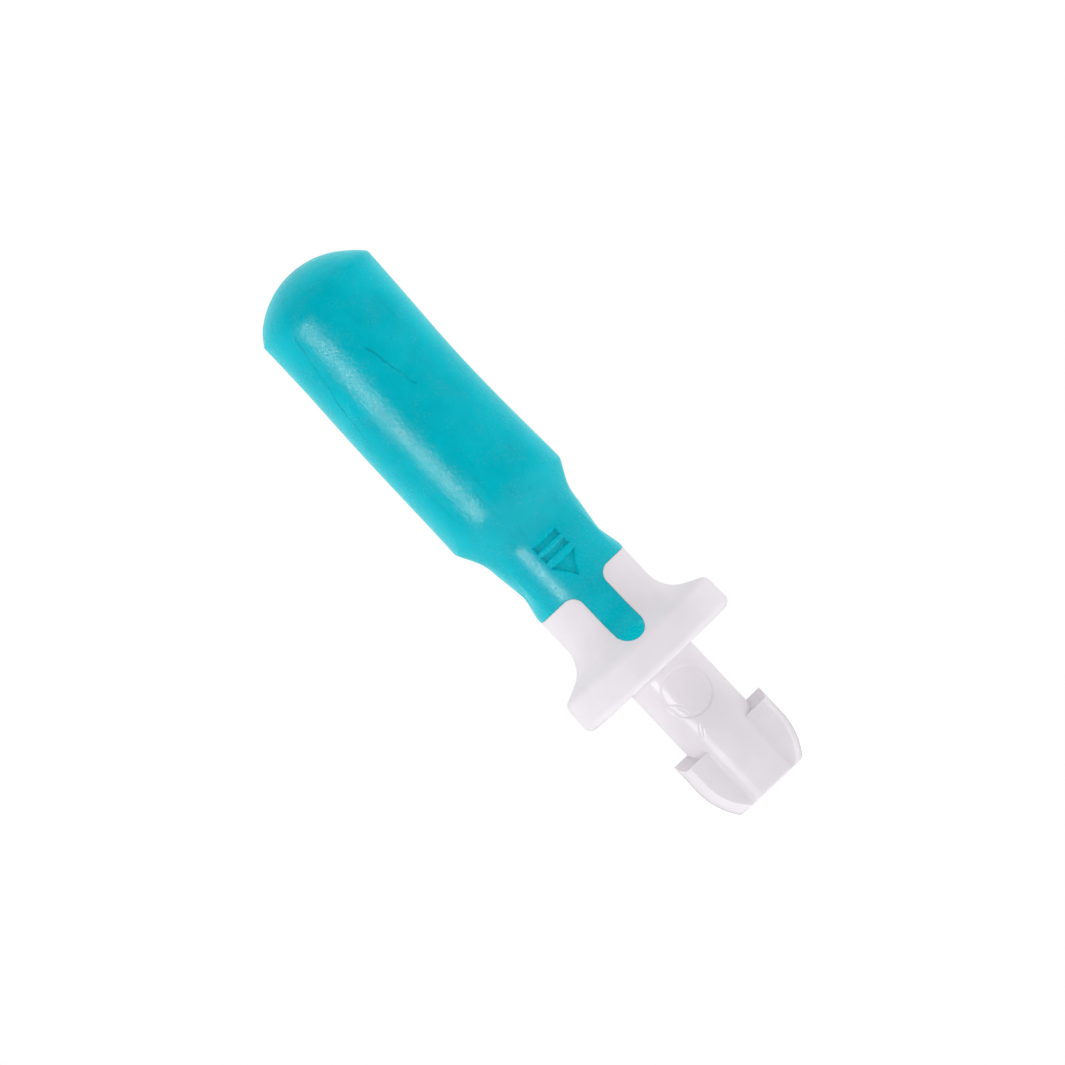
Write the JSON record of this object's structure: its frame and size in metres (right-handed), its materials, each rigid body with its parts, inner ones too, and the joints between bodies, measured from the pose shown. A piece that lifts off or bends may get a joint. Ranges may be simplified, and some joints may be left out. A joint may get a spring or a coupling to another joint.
{
  "type": "oral massage probe tip",
  "caption": "Soft domed probe tip moulded over a rigid plug, with a round stop flange and bayonet lugs that lock it into a handle.",
  "frame": {"origin": "centre of the flange's seat face, where the plug stops against its handle", "axes": "+Z along the axis towards the soft tip, X through the bayonet lugs, -Y the front with the debossed mark"},
  "size_m": [0.0184, 0.0184, 0.067],
  "materials": {
    "white_plastic": "smooth moulded white plastic with a faint lavender cast, semi-gloss",
    "soft_turquoise": "soft turquoise elastomer, satin, with a fine moulded texture and faint flow lines"
  },
  "bodies": {
    "root": {"plug_core": "white_plastic", "soft_tip": "soft_turquoise"}
  },
  "joints": []
}
